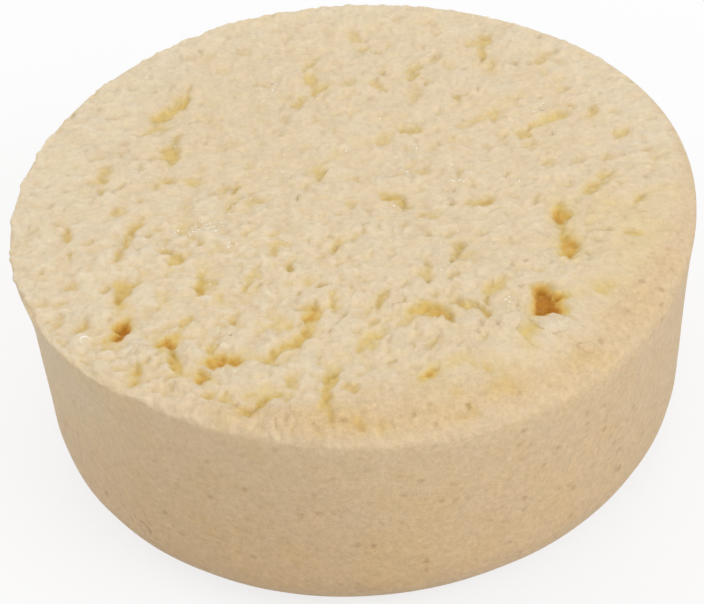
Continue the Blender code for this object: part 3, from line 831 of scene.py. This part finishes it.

# %% [markdown]
# ## The soap's finish
# Soap is a waxy solid that light enters, so a shallow dent glows instead of going dark, and a deep pit
# turns amber. The shader therefore has some subsurface scattering, and the hollows, which the mesh carries
# as a number layer, are also painted amber and darker in the colour itself, as shade. Over that lie a pale
# and pink mottle, tiny pores painted brown and darker as shade, and a fine grain in the bump.


# %% Node helpers
class NodeBench:
    """Adds nodes to the tree of a material or of the world, and joins them up."""

    def __init__(self, tree):
        self.tree = tree

    def add(self, kind, **settings):
        """A new node. A setting is a property of it or, with spaces for underscores, one of its sockets."""
        node = self.tree.nodes.new(kind)
        for setting, value in settings.items():
            if hasattr(node, setting):
                setattr(node, setting, value)
            else:
                node.inputs[setting.replace("_", " ")].default_value = value
        return node

    def feed(self, node, socket, value):
        """Joins a socket to the output of another node, or sets it where the value is a plain one."""
        if isinstance(value, bpy.types.NodeSocket):
            self.tree.links.new(value, node.inputs[socket])
        else:
            node.inputs[socket].default_value = value

    def point(self):
        """The place that is shaded, in Object coordinates."""
        node = self.tree.nodes.get("Texture Coordinate") or self.add("ShaderNodeTexCoord")
        return node.outputs["Object"]

    def noise(self, scale, detail, roughness):
        """Random values round 0.5, this many to the metre, with finer layers on top."""
        node = self.add("ShaderNodeTexNoise", Scale=scale, Detail=detail, Roughness=roughness)
        self.feed(node, "Vector", self.point())
        return node.outputs

    def mapped(self, value, low, high, to_low, to_high):
        """The value carried from one range to another, and held at its ends."""
        node = self.add("ShaderNodeMapRange", From_Min=low, From_Max=high, To_Min=to_low, To_Max=to_high)
        self.feed(node, "Value", value)
        return node.outputs["Result"]

    def ramp(self, value, stops):
        """The colour at this value between stops, each of them a place from 0 to 1 and a linear colour."""
        node = self.add("ShaderNodeValToRGB")
        band = node.color_ramp.elements
        while len(band) > 1:
            band.remove(band[-1])
        for number, (place, colour) in enumerate(stops):
            stop = band[0] if number == 0 else band.new(place)
            stop.position = place
            stop.color = (*colour, 1.0)
        self.feed(node, "Fac", value)
        return node.outputs["Color"]

    def reckon(self, operation, *values):
        """One step of arithmetic on outputs and plain numbers."""
        node = self.add("ShaderNodeMath", operation=operation)
        for number, value in enumerate(values):
            self.feed(node, number, value)
        return node.outputs["Value"]

    def vector(self, operation, *values):
        """The same on outputs and plain vectors."""
        node = self.add("ShaderNodeVectorMath", operation=operation)
        for number, value in enumerate(values):
            self.feed(node, number, value)
        return node.outputs

    def times(self, colour, factor, other):
        """The colour multiplied by the other one, as far as the factor says."""
        node = self.add("ShaderNodeMix", data_type="RGBA", blend_type="MULTIPLY")
        for socket, value in (("Factor", factor), ("A", colour), ("B", other)):
            self.feed(node, socket, value)
        return node.outputs["Result"]


def new_material(name):
    """An empty node material, a bench for its nodes and its Principled shader."""
    material = bpy.data.materials.new(name)
    material.use_nodes = True
    return material, NodeBench(material.node_tree), material.node_tree.nodes["Principled BSDF"]


print("a bench can", [name for name in vars(NodeBench) if not name.startswith("_")])

# %% Painted shade, stain and mottle on the soap
SOAP_PALE = (0.800, 0.668, 0.466)
SOAP_CREAM = (0.766, 0.614, 0.403)
SOAP_BUTTER = (0.750, 0.576, 0.300)
SOAP_HONEY = (0.735, 0.530, 0.180)
SOAP_AMBER = (0.700, 0.415, 0.080)
SOAP_TOFFEE = (0.520, 0.215, 0.008)
SKIN_TONE = (0.918, 0.825, 0.712)
SHADE_AND_STAIN_RANGE = (-0.15, 1.0)
SHADE_AND_STAIN_STOPS = (
    (0.0, SOAP_PALE), (0.13, SOAP_CREAM), (0.25, SOAP_BUTTER),
    (0.45, SOAP_HONEY), (0.70, SOAP_AMBER), (1.0, SOAP_TOFFEE),
)
# Each noise has a number of values to the metre, a number of finer layers and their share.
RAGGED_NOISE = (1500.0, 3.0, 0.7)
CLOUD_NOISE = (260.0, 2.0, 0.5)
BLOOM_NOISE = (420.0, 4.0, 0.65)
GRAIN_NOISE = (1700.0, 4.0, 0.80)
FLECK_NOISE = (1000.0, 2.0, 0.6)
RAGGED_RANGE = (0.35, 0.65)
RAGGED_SHARE = (0.84, 1.16)
CLOUD_STOPS = ((0.30, (1.0, 0.985, 0.93)), (0.50, (1.0, 1.0, 1.0)), (0.70, (1.0, 1.01, 1.04)))
BLOOM_STOPS = ((0.30, (0.95, 0.945, 0.935)), (0.70, (1.05, 1.055, 1.065)))
GRAIN_STOPS = ((0.25, (0.90, 0.89, 0.87)), (0.75, (1.10, 1.11, 1.13)))
FLECK_STOPS = ((0.30, (0.945, 0.94, 0.935)), (0.70, (1.055, 1.06, 1.065)))
SKIN_GRAIN = 0.7


def shaded_and_stained(bench, ragged):
    """Colour by the hollow layer, from pale crests to toffee in the deepest pits: painted light on the
    crests and painted amber shade in the hollows and creases, over the slow drift of the stain. The layer is
    multiplied by noise, so that the painted shade and the stain have ragged edges."""
    hollow = bench.add("ShaderNodeAttribute", attribute_name="hollow").outputs["Fac"]
    stain = bench.reckon("MULTIPLY", hollow, bench.mapped(ragged["Fac"], *RAGGED_RANGE, *RAGGED_SHARE))
    return bench.ramp(bench.mapped(stain, *SHADE_AND_STAIN_RANGE, 0.0, 1.0), SHADE_AND_STAIN_STOPS)


def mottled(bench, colour, skin, grain):
    """The colour times tones near white: clouds and grain all over, a bloom where the skin is gone, and
    flecks, more grain and the skin's own tone where it is whole. On the wall the skin share also grows
    towards the foot, so there its tone is partly painted shade."""

    def tone(noise, stops):
        return bench.ramp(bench.noise(*noise)["Fac"], stops)

    grain_tone = bench.ramp(grain, GRAIN_STOPS)
    colour = bench.times(colour, 1.0, tone(CLOUD_NOISE, CLOUD_STOPS))
    colour = bench.times(colour, bench.reckon("SUBTRACT", 1.0, skin), tone(BLOOM_NOISE, BLOOM_STOPS))
    colour = bench.times(colour, 1.0, grain_tone)
    colour = bench.times(colour, skin, tone(FLECK_NOISE, FLECK_STOPS))
    colour = bench.times(colour, bench.reckon("MULTIPLY", skin, SKIN_GRAIN), grain_tone)
    return bench.times(colour, skin, (*SKIN_TONE, 1.0))


print("cream in the shader:", SOAP_CREAM)

# %% Pores and a bow-shaped mark
PORE_SHADE_TONE = (0.760, 0.680, 0.600)
PORE_SCALE = 620.0
PORE_BEND = (0.0007, 0.0007, 0.0007)
PORE_RADII = (0.05, 0.28)
PORE_CHANCE = (0.30, 0.90)
PORE_SKIN = (0.2, 0.8)
PORE_SHARE = (0.4, 1.0)
BOW_MIDDLE = Vector((-22.45, -23.30, 6.60)) * MM
BOW_RADIUS = 0.85 * MM
BOW_WIDTH = 0.28 * MM
BOW_SIDE = (0.62, -0.30, 0.72)


def pores(bench, ragged, skin):
    """Share of a pore: dots in the middles of scattered cells whose plane is bent by noise. The cell's
    random colour picks how strong its dot is, and dots are fainter where the skin is gone."""
    bent = bench.vector("MULTIPLY_ADD", ragged["Color"], PORE_BEND, bench.point())["Vector"]
    cells = bench.add("ShaderNodeTexVoronoi", Scale=PORE_SCALE)
    bench.feed(cells, "Vector", bent)
    picked = bench.add("ShaderNodeSeparateColor")
    bench.feed(picked, "Color", cells.outputs["Color"])
    dot = bench.mapped(cells.outputs["Distance"], *PORE_RADII, 1.0, 0.0)
    chosen = bench.mapped(picked.outputs["Red"], *PORE_CHANCE, 0.0, 1.0)
    pore = bench.reckon("MULTIPLY", dot, chosen)
    return bench.reckon("MULTIPLY", pore, bench.mapped(skin, *PORE_SKIN, *PORE_SHARE))


def bow_mark(bench):
    """Share of the small bow that is pressed into the wall at the left: points near a ball's surface, in
    the half of it that lies towards one side."""
    away = bench.vector("SUBTRACT", bench.point(), BOW_MIDDLE)["Vector"]
    length = bench.vector("LENGTH", away)["Value"]
    towards = bench.vector("DOT_PRODUCT", away, BOW_SIDE)["Value"]
    off_bow = bench.reckon("ABSOLUTE", bench.reckon("SUBTRACT", length, BOW_RADIUS))
    line = bench.mapped(off_bow, 0.0, BOW_WIDTH, 1.0, 0.0)
    return bench.reckon("MULTIPLY", line, bench.mapped(towards, 0.0, BOW_RADIUS / 2, 0.0, 1.0))


print("pores to the metre:", PORE_SCALE, "bow", round(2 * BOW_RADIUS / MM, 1), "mm across")

# %% Pressed soap
CAKE_GLOW = 0.15
CRUMB_GLOW = 0.0
MARK_BUMP = -0.8
BUMP_STRENGTH = 0.5
BUMP_DEPTH = 0.0003
SOAP_SURFACE = {
    "Roughness": 0.62,
    "Specular IOR Level": 0.35,
    "Sheen Weight": 0.25,
    "Sheen Roughness": 0.40,
    "Subsurface Radius": (1.0, 0.6, 0.3),
    "Subsurface Scale": 0.0010,
}


def soap_material(name, glow):
    """Pressed soap on Object coordinates: mottled colour with stain and painted amber shade, pores and a
    mark that are painted darker as shade and dent the bump, and a fine grain. The glow is the share of light
    that goes through the soap."""
    material, bench, shader = new_material(name)
    ragged = bench.noise(*RAGGED_NOISE)
    grain = bench.noise(*GRAIN_NOISE)["Fac"]
    skin = bench.add("ShaderNodeAttribute", attribute_name="skin").outputs["Fac"]
    colour = mottled(bench, shaded_and_stained(bench, ragged), skin, grain)
    pore, bow = pores(bench, ragged, skin), bow_mark(bench)
    # The pores and the bow are small dents, painted darker and browner as shade.
    for mark in (pore, bow):
        colour = bench.times(colour, mark, (*PORE_SHADE_TONE, 1.0))
    bench.feed(shader, "Base Color", colour)
    bump = bench.add("ShaderNodeBump", Strength=BUMP_STRENGTH, Distance=BUMP_DEPTH)
    dents = bench.reckon("MULTIPLY_ADD", bench.reckon("MAXIMUM", pore, bow), MARK_BUMP, grain)
    bench.feed(bump, "Height", dents)
    bench.feed(shader, "Normal", bump.outputs["Normal"])
    bench.feed(shader, "Subsurface Weight", glow)
    for socket, value in SOAP_SURFACE.items():
        bench.feed(shader, socket, value)
    return material


cake.data.materials.append(soap_material("pressed_soap_finish", CAKE_GLOW))
print("pressed soap:", len(cake.data.materials[0].node_tree.nodes), "nodes")

# %% [markdown]
# ## Standing crumbs
# Eleven crumbs stand out of the face, pressed to it by the mould. A ball would look like a bean that lies
# on the soap, so each crumb is a low cap with a ragged outline instead. Its top repeats the face below it,
# lifted most in the middle, and its underside lies just below the face, so that it sits in the soap from
# any side.

# %% Shape of a crumb
CRUMB_COLUMNS = 48
CRUMB_ROWS = 10
CRUMB_LIFT = 0.55
CRUMB_DOME = 1.5
CRUMB_BUMPS = 0.45
CRUMB_BUMP_LENGTH = 0.9 * MM
CRUMB_TUCK = 0.10 * MM
CRUMB_TUCK_POWER = 4
CRUMB_SINK = 0.28 * MM
# Each row is how far the outline wanders, as a share of its size, and the size of the circle in the noise.
CRUMB_RAGS = ((0.30, 1.3), (0.16, 3.1))


def crumb_points(low, high, seed):
    """Rings of a crumb from the middle of its top out to its edge and back in underneath, then its two
    middles. The edge is an ellipse in the box, times 1 plus noise round a circle. The top is the face plus
    a dome, whose lift is a power of one less the square of the share of the way to the edge, less a tuck
    that grows with another power of that share. The underside is the face less a little."""
    way = np.linspace(0, 1, CRUMB_ROWS + 1)[:, None]
    turn = np.linspace(0, 2 * np.pi, CRUMB_COLUMNS, endpoint=False)
    ragged = 1
    for number, (wander, circle) in enumerate(CRUMB_RAGS):
        ragged = ragged + wander * hills(*flat_place(circle, turn), 1.0, seed + number)
    middle, half = (low + high) / 2, (high - low) / 2
    x = middle.x + half.x * way * ragged * np.cos(turn)
    y = middle.y + half.y * way * ragged * np.sin(turn)
    ground = top_height(x, y)
    bumps = 1 + CRUMB_BUMPS * hills(x, y, CRUMB_BUMP_LENGTH, seed + len(CRUMB_RAGS))
    dome = CRUMB_LIFT * (high.z - low.z) * bumps * (1 - way**2) ** CRUMB_DOME
    tuck = CRUMB_TUCK * way**CRUMB_TUCK_POWER
    top = np.stack((x, y, ground + dome - tuck), axis=-1)
    under = np.stack((x, y, ground - CRUMB_SINK), axis=-1)[::-1]
    share = np.concatenate((way[1:], way[:0:-1])) + 0 * turn
    middles = np.stack((top[0].mean(axis=0), under[-1].mean(axis=0)))
    points = np.vstack((top[1:].reshape(-1, 3), under[:-1].reshape(-1, 3), middles))
    return points, np.append(share.ravel(), (0, 0))


def ball_faces(rows, columns):
    """Quads between the rings, and a fan of triangles round each of the two middles."""
    index = np.arange(rows * columns).reshape(rows, columns)
    around = np.column_stack((index, index[:, :1]))
    first, last = np.full(columns, rows * columns), np.full(columns, rows * columns + 1)
    first_fan = np.column_stack((first, around[0, :-1], around[0, 1:]))
    last_fan = np.column_stack((last, around[-1, 1:], around[-1, :-1]))
    return grid_quads(around), first_fan.tolist() + last_fan.tolist()


crumb_quads, crumb_fans = ball_faces(2 * CRUMB_ROWS, CRUMB_COLUMNS)
print("faces of a crumb:", len(crumb_quads) + len(crumb_fans))

# %% Crumbs
CURL_NODE = "grain_left_curl"
CRUMB_SEED = 200
CRUMB_SEED_STEP = 7
CRUMB_EDGE_SHADE = 0.08
CRUMB_PALE = 0.05


def stand_for(piece, node, finish):
    """Gives a crumb its finish, hangs it on the root body and hides the node of the packed model that it
    stands for.
    """
    piece.data.materials.append(finish)
    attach(piece, "root")
    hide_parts(node)


crumb_finish = soap_material("standing_crumb_finish", CRUMB_GLOW)
for number, (node, (low, high)) in enumerate(CRUMB_BOXES.items()):
    if node == CURL_NODE:
        continue
    rings, share = crumb_points(low, high, CRUMB_SEED + CRUMB_SEED_STEP * number)
    ring_x, ring_y = rings[:, 0], rings[:, 1]
    # A crumb takes the face's stain drift, a little paler, and is painted darker towards its edge where it
    # meets the face: painted shade at the join.
    crumb_shade_and_stain = tone_drift(ring_x, ring_y) + CRUMB_EDGE_SHADE * share**2 - CRUMB_PALE
    layers = {"hollow": crumb_shade_and_stain, "skin": whole_skin(ring_x, ring_y)}
    crumb = closed_mesh(node.replace("grain", "crumb"), rings, crumb_quads, crumb_fans, layers)
    stand_for(crumb, node, crumb_finish)
print("crumbs:", len(CRUMB_BOXES) - 1)

# %% [markdown]
# ## Specks and a curl
# Bright specks lie in small drifts and thinly over the whole face: small crystals whose near-white colour is
# a painted glint. The largest drift lies at the left of the middle. Each speck is an eight-sided crystal
# about a third of a millimetre long that is partly sunk into the face, and all of them are one mesh. Near
# the rim at the left, one shaving has curled up into a small bow: a rod carried along an arc, thin at both
# ends, whose near-white colour is a painted highlight too.

# %% Painted glints
GLINT_NOISE = (900.0, 1.0, 0.5)
GLINT_STOPS = ((0.35, (0.92, 0.83, 0.64)), (0.65, (0.97, 0.91, 0.76)))
GLINT_ROUGHNESS = 0.30

# The near-white colour of the specks and of the curl is a painted glint.
glint_finish, bench, shader = new_material("painted_glint_finish")
bench.feed(shader, "Base Color", bench.ramp(bench.noise(*GLINT_NOISE)["Fac"], GLINT_STOPS))
bench.feed(shader, "Roughness", GLINT_ROUGHNESS)
print("painted glint:", len(bench.tree.nodes), "nodes")

# %% Specks
# Each row is the middle of a drift across and along in millimetres, its length, its width and its number of
# specks.
SPECK_DRIFTS = (
    (-14.6, -2.8, 5.4, 2.6, 30), (-11.8, -6.4, 2.0, 4.0, 6), (11.2, 0.7, 2.2, 1.2, 7),
    (14.1, -17.6, 1.6, 2.0, 9), (-7.8, 18.8, 2.6, 3.0, 9), (20.8, 12.5, 2.0, 2.0, 5),
    (19.0, -21.4, 2.4, 1.6, 6), (19.6, -29.0, 6.0, 4.0, 5), (0.0, 0.0, 52.0, 52.0, 30),
)
DRIFT_SPREADS = 4
SPECK_SEED = 11
SPECK_SIZE = 0.10 * MM
SPECK_RANGE = (0.6, 1.3)
SPECK_LIFT = 0.4
SPECK_MARGIN = 0.5 * MM
SPECK_CORNERS = np.array(((1.6, 0, 0), (0, 1, 0), (-1.6, 0, 0), (0, -1, 0), (0, 0, 0.9), (0, 0, -0.9)))
SPECK_FACES = np.array(
    ((0, 1, 4), (1, 2, 4), (2, 3, 4), (3, 0, 4), (1, 0, 5), (2, 1, 5), (3, 2, 5), (0, 3, 5))
)


def speck_places(draw):
    """Places of the specks: each drift scatters its number of them round its middle with a bell curve, and
    those that fall outside the face are left out."""
    drifts = []
    for x, y, length, width, count in SPECK_DRIFTS:
        spread = (length / DRIFT_SPREADS, width / DRIFT_SPREADS)
        drifts.append(draw.normal((x, y), spread, (count, 2)))
    across, along = np.vstack(drifts).T * MM
    inside = np.hypot(across, along) < face_radius(np.arctan2(along, across)) - SPECK_MARGIN
    return across[inside, None], along[inside, None]


draw = np.random.default_rng(SPECK_SEED)
speck_x, speck_y = speck_places(draw)
turn = draw.uniform(0, np.pi, speck_x.shape)
size = SPECK_SIZE * draw.uniform(*SPECK_RANGE, speck_x.shape)
corner_x, corner_y, corner_z = SPECK_CORNERS.T
speck_corners = (
    speck_x + size * (np.cos(turn) * corner_x - np.sin(turn) * corner_y),
    speck_y + size * (np.sin(turn) * corner_x + np.cos(turn) * corner_y),
    top_height(speck_x, speck_y) + size * (corner_z + SPECK_LIFT),
)
speck_points = np.stack(speck_corners, axis=-1).reshape(-1, 3)
speck_faces = (np.arange(len(speck_x))[:, None, None] * len(SPECK_CORNERS) + SPECK_FACES).reshape(-1, 3)
specks = closed_mesh("glinting_specks", speck_points, speck_faces, [], {})
specks.data.shade_flat()
specks.data.materials.append(glint_finish)
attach(specks, "root")
print("specks:", len(speck_x))

# %% The curl
CURL_ROWS = 24
CURL_COLUMNS = 10
CURL_RADIUS = 0.40 * MM
CURL_THICKNESS = 0.13 * MM
CURL_LIFT = 0.6
CURL_SPAN = np.radians((10, 250))
CURL_PLACE = 0.7
CURL_SHIFT = Vector((0.4, -0.2, 0.0)) * MM


def curl_points(low, high):
    """Rings of the rod along its arc, then its two tips. The arc's middle lies some way across the box and
    a little to the side, and the rod's radius follows the square root of the sine of the share of the way
    along it."""
    way = np.linspace(0, 1, CURL_ROWS + 2)[1:-1, None]
    turn = np.linspace(0, 2 * np.pi, CURL_COLUMNS, endpoint=False)
    thick = CURL_THICKNESS * np.sqrt(np.sin(np.pi * way))
    across, along = flat_place(CURL_RADIUS + thick * np.cos(turn), between(*CURL_SPAN, way))
    middle = low.lerp(high, CURL_PLACE) + CURL_SHIFT
    seat = top_height(np.array([middle.x]), np.array([middle.y]))[0]
    height = seat + thick * (CURL_LIFT + np.sin(turn))
    rings = np.stack((middle.x + across, middle.y + along, height), axis=-1)
    tips = np.stack((rings[0].mean(axis=0), rings[-1].mean(axis=0)))
    return np.vstack((rings.reshape(-1, 3), tips))


curl_rod = curl_points(*CRUMB_BOXES[CURL_NODE])
curl = closed_mesh("crumb_left_curl", curl_rod, *ball_faces(CURL_ROWS, CURL_COLUMNS), {})
stand_for(curl, CURL_NODE, glint_finish)
print("curl faces:", len(curl.data.polygons))

# %% [markdown]
# ## Floor and light
# A soap is photographed under soft, wide light. Here four panels stand round the puck: the strongest at the
# front right, the next at the left, a low warm one in front that lifts the wall, and a small one near the
# back. A white sky of about half strength fills in the rest. The table throws warm light back at the wall,
# but the camera sees it white, with a part of the puck's shadow that fades away from the puck, so that no
# edge of the table shows.

# %% Table
FLOOR_HALF = 0.6
FLOOR_CORNERS = ((-1, -1, 0), (1, -1, 0), (1, 1, 0), (-1, 1, 0))
TABLE_TONE = (0.50, 0.43, 0.345, 1.0)
TABLE_ROUGHNESS = 0.9
SHADOW_TONE = (0.95, 0.95, 0.95, 1.0)
SHADOW_SHARE = 0.25
SHADOW_NEAR = 0.05
SHADOW_FAR = 0.22


def seen_directly(bench):
    """1 for the rays that show the background: from the camera, off gloss and through glass."""
    rays = bench.add("ShaderNodeLightPath").outputs
    shown = bench.reckon("MAXIMUM", rays["Is Camera Ray"], rays["Is Glossy Ray"])
    return bench.reckon("MAXIMUM", shown, rays["Is Transmission Ray"])


def blended(bench, factor, first, second):
    """A shader between two others, at the second where the factor is 1."""
    node = bench.add("ShaderNodeMixShader")
    for number, value in enumerate((factor, first, second)):
        bench.feed(node, number, value)
    return node.outputs["Shader"]


floor_mesh = bpy.data.meshes.new("table")
floor_mesh.from_pydata((np.array(FLOOR_CORNERS) * FLOOR_HALF).tolist(), [], [(0, 1, 2, 3)])
floor = placed("table", floor_mesh)

table_finish, bench, shader = new_material("white_table")
bench.feed(shader, "Base Color", TABLE_TONE)
bench.feed(shader, "Roughness", TABLE_ROUGHNESS)
bench.feed(shader, "Specular IOR Level", 0.0)
shaded = bench.add("ShaderNodeBsdfDiffuse", Color=SHADOW_TONE).outputs["BSDF"]
plain_white = bench.add("ShaderNodeEmission").outputs["Emission"]
far_off = bench.vector("LENGTH", bench.point())["Value"]
whiteness = bench.mapped(far_off, SHADOW_NEAR, SHADOW_FAR, 1 - SHADOW_SHARE, 1.0)
shown_table = blended(bench, whiteness, shaded, plain_white)
table_shader = blended(bench, seen_directly(bench), shader.outputs["BSDF"], shown_table)
bench.feed(bench.tree.nodes["Material Output"], "Surface", table_shader)
floor_mesh.materials.append(table_finish)
print("table:", len(bench.tree.nodes), "nodes")

# %% Sky and panels
AMBIENT = 0.505
WHITE = (1.0, 1.0, 1.0)
# Each row is a name, a place and a side in metres, a power in watts and a colour.
PANELS = (
    ("back_panel", (0.03, 0.16, 0.24), 0.25, 0.172, WHITE),
    ("front_panel", (-0.03, -0.35, 0.19), 0.35, 0.30, (1.0, 0.945, 0.865)),
    ("left_panel", (-0.42, 0.11, 0.26), 0.35, 0.63, WHITE),
    ("right_panel", (0.355, -0.25, 0.26), 0.35, 1.04, (0.955, 1.0, 1.065)),
)


def soft_panel(name, place, size, power, colour):
    """A square panel of light that faces the middle of the puck."""
    data = bpy.data.lights.new(name, "AREA")
    data.color = colour
    data.size = size
    data.energy = power
    panel = placed(name, data)
    panel.location = place
    panel.rotation_euler = (PUCK_MIDDLE - Vector(place)).to_track_quat("-Z", "Y").to_euler()
    return panel


world = bpy.data.worlds.new("studio")
world.use_nodes = True
bpy.context.scene.world = world
bench = NodeBench(world.node_tree)
sky = world.node_tree.nodes["Background"]
bench.feed(sky, "Color", (*WHITE, 1.0))
bench.feed(sky, "Strength", bench.mapped(seen_directly(bench), 0.0, 1.0, AMBIENT, 1.0))
panels = [soft_panel(*row) for row in PANELS]
print("lights:", [panel.name for panel in panels])

# %% [markdown]
